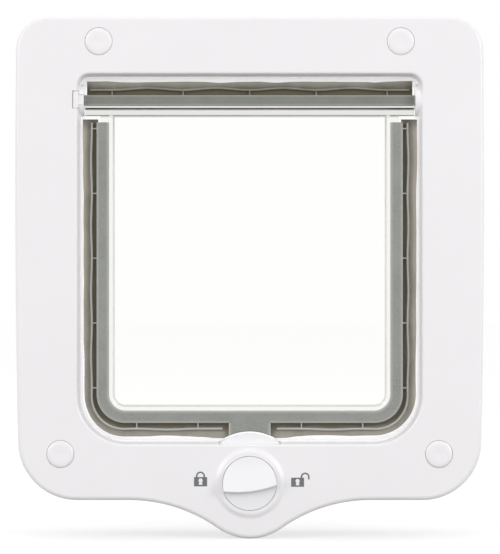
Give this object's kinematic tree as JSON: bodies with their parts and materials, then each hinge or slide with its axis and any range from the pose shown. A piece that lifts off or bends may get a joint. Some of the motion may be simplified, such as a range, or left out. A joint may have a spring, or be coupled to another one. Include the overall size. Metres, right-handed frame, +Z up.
{
  "type": "cat flap",
  "caption": "Two-way cat flap for a door: white frame with tunnel, clear swinging flap edged with soft grey lips, and a rotary knob that raises a locking bolt.",
  "frame": {"origin": "centre of the tunnel on the plane of the door's inner face, where the front frame's skirt rests", "axes": "+X to the right seen from the room, +Y through the door to the outside, +Z up"},
  "size_m": [0.2114, 0.0571, 0.2355],
  "materials": {
    "white_plastic": "satin moulded white",
    "clear_plastic": "clear moulded",
    "grey_plastic": "fine matt grey",
    "grey_seal": "soft matt grey elastomer",
    "zinc_steel": "zinc plated",
    "magnet": "plain dark",
    "lock_plastic": "natural pale"
  },
  "bodies": {
    "frame": {"front_frame": "white_plastic", "rear_frame": "white_plastic", "frame_screws": "zinc_steel", "cap_top_left": "white_plastic", "cap_top_right": "white_plastic", "cap_bottom_left": "white_plastic", "cap_bottom_right": "white_plastic", "hinge_keeper": "white_plastic", "frame_magnet": "magnet", "lock_cover": "lock_plastic", "lock_cover_screws": "zinc_steel"},
    "flap": {"flap_pane": "clear_plastic", "flap_frame": "grey_plastic", "latch_tab": "grey_plastic", "top_rail": "grey_plastic", "lip_left": "grey_seal", "lip_right": "grey_seal", "top_lip": "grey_seal", "flap_magnet": "magnet"},
    "knob": {"lock_knob": "white_plastic", "lock_cam": "lock_plastic", "knob_washer": "zinc_steel", "knob_screw": "zinc_steel"},
    "bolt": {"lock_bolt": "white_plastic"}
  },
  "joints": [
    {"name": "flap_swing", "type": "hinge", "parent": "frame", "child": "flap", "pos_m": [0, -0.0065, 0.0718], "axis": [1, 0, 0], "range_deg": [-90, 90]},
    {"name": "knob_turn", "type": "hinge", "parent": "frame", "child": "knob", "pos_m": [0, -0.0065, -0.1009], "axis": [0, -1, 0], "range_deg": [0, 180]},
    {"name": "bolt_rise", "type": "slide", "parent": "frame", "child": "bolt", "axis": [0, 0, 1], "range_m": [0, 0.0048]}
  ],
  "couplings": [
    {"joint": "bolt_rise", "follows": "knob_turn", "m_per_rad": 0.0015279}
  ]
}
